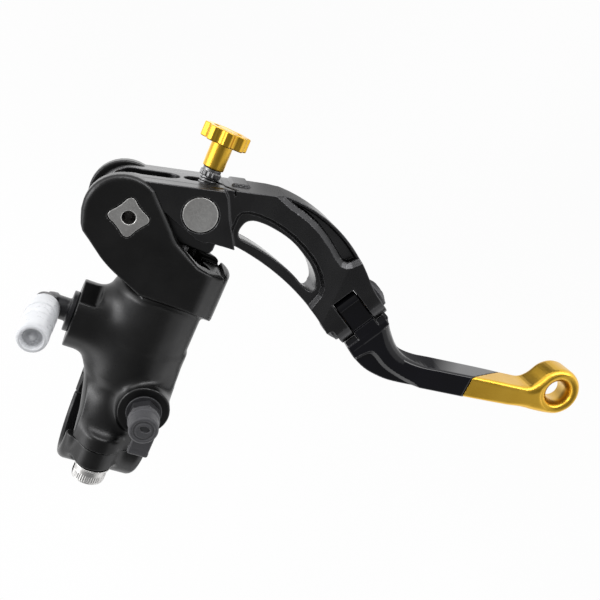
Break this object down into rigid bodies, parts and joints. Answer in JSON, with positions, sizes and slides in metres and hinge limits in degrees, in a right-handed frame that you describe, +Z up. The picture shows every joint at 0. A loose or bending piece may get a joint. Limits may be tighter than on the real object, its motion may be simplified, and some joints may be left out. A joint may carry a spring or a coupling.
{
  "type": "brake master cylinder",
  "caption": "Radial handlebar brake master cylinder with clamp, folding reach-adjustable lever, capped inlet elbow and bleed screw.",
  "frame": {"origin": "centre of the handlebar clamp bore, on the piston axis", "axes": "+X outboard along the handlebar, +Y forward along the piston axis, +Z up; the lever swings in the XY plane about an axis parallel to Z"},
  "size_m": [0.1833, 0.1131, 0.0485],
  "materials": {
    "black_anodised": "satin black anodised cast and machined aluminium",
    "black_anodised_lever": "satin black anodised milled aluminium",
    "gloss_black": "polished black anodised aluminium",
    "gold_anodised": "gold anodised milled aluminium",
    "plain_aluminium": "hard anodised clear",
    "steel": "machined stainless steel",
    "dark_steel": "black oxide steel",
    "bronze": "sintered bronze",
    "rubber": "matt rubber",
    "rubber_cap": "dark grey moulded rubber",
    "black_plastic": "moulded black plastic",
    "white_plastic": "translucent white moulded plastic"
  },
  "bodies": {
    "cylinder": {"body": "black_anodised", "clamp_cap": "black_anodised", "clamp_bolts": "steel", "clamp_washers": "steel", "pivot_pin": "steel", "pivot_screw": "steel", "thrust_washers": "dark_steel", "stop_washer": "steel", "piston_circlip": "dark_steel", "dust_boot": "rubber", "return_spring": "steel", "bleed_washer": "dark_steel", "elbow_clip": "steel"},
    "lever": {"lever_base": "black_anodised_lever", "pivot_bushes": "bronze", "detent_plunger": "steel", "detent_spring": "steel", "detent_plug": "dark_steel", "fold_bolt": "dark_steel", "fold_nut": "dark_steel", "fold_spring": "steel"},
    "cross_pin": {"cross_pin": "steel"},
    "adjuster_screw": {"adjuster_screw": "steel"},
    "adjuster_knob": {"adjuster_knob": "gold_anodised", "knob_grub_screw": "dark_steel"},
    "piston": {"piston": "plain_aluminium", "primary_cup": "rubber", "secondary_cup": "rubber", "spring_seat": "steel"},
    "folding_arm": {"folding_arm": "gloss_black", "lever_tip": "gold_anodised", "tip_stud": "steel", "fold_bushes": "bronze"},
    "inlet_elbow": {"inlet_elbow": "black_plastic", "elbow_o_ring": "rubber"},
    "nozzle_cap": {"nozzle_cap": "white_plastic"},
    "bleed_screw": {"bleed_screw": "dark_steel"},
    "bleed_cap": {"bleed_cap": "rubber_cap"}
  },
  "joints": [
    {"name": "lever_pull", "type": "hinge", "parent": "cylinder", "child": "lever", "pos_m": [-0.0175, 0.067, 0], "axis": [0, 0, 1], "range_deg": [-12, 0]},
    {"name": "cross_pin_swivel", "type": "hinge", "parent": "lever", "child": "cross_pin", "pos_m": [0, 0.0745, 0], "axis": [0, 0, 1], "range_deg": [0, 9.5]},
    {"name": "screw_travel", "type": "slide", "parent": "cross_pin", "child": "adjuster_screw", "axis": [0, 1, 0], "range_m": [0, 0.0016]},
    {"name": "knob_turn", "type": "hinge", "parent": "adjuster_screw", "child": "adjuster_knob", "pos_m": [0, 0.09, 0], "axis": [0, 1, 0], "range_deg": [0, 720]},
    {"name": "piston_slide", "type": "slide", "parent": "cylinder", "child": "piston", "axis": [0, 1, 0], "range_m": [-0.0039, 0], "deforming": ["return_spring"]},
    {"name": "arm_fold", "type": "hinge", "parent": "lever", "child": "folding_arm", "pos_m": [0.0578, 0.0617, 0], "axis": [-0.5, -0.866, 0], "range_deg": [0, 80]},
    {"name": "elbow_swivel", "type": "hinge", "parent": "cylinder", "child": "inlet_elbow", "pos_m": [-0.0215, 0.031, 0], "axis": [1, 0, 0], "range_deg": [-40, 40]},
    {"name": "nozzle_cap_pull", "type": "slide", "parent": "inlet_elbow", "child": "nozzle_cap", "axis": [0, 0, 1], "range_m": [0, 0.026]},
    {"name": "bleed_turn", "type": "hinge", "parent": "cylinder", "child": "bleed_screw", "pos_m": [0.0061, 0.015, 0.017], "axis": [0, 0, 1], "range_deg": [0, 180]},
    {"name": "bleed_cap_pull", "type": "slide", "parent": "cylinder", "child": "bleed_cap", "axis": [0, 0, 1], "range_m": [0, 0.012]}
  ],
  "couplings": [
    {"joint": "cross_pin_swivel", "follows": "lever_pull", "ratio": -0.761},
    {"joint": "piston_slide", "follows": "lever_pull", "m_per_rad": 0.018014},
    {"joint": "knob_turn", "follows": "screw_travel", "rad_per_m": 7854}
  ]
}
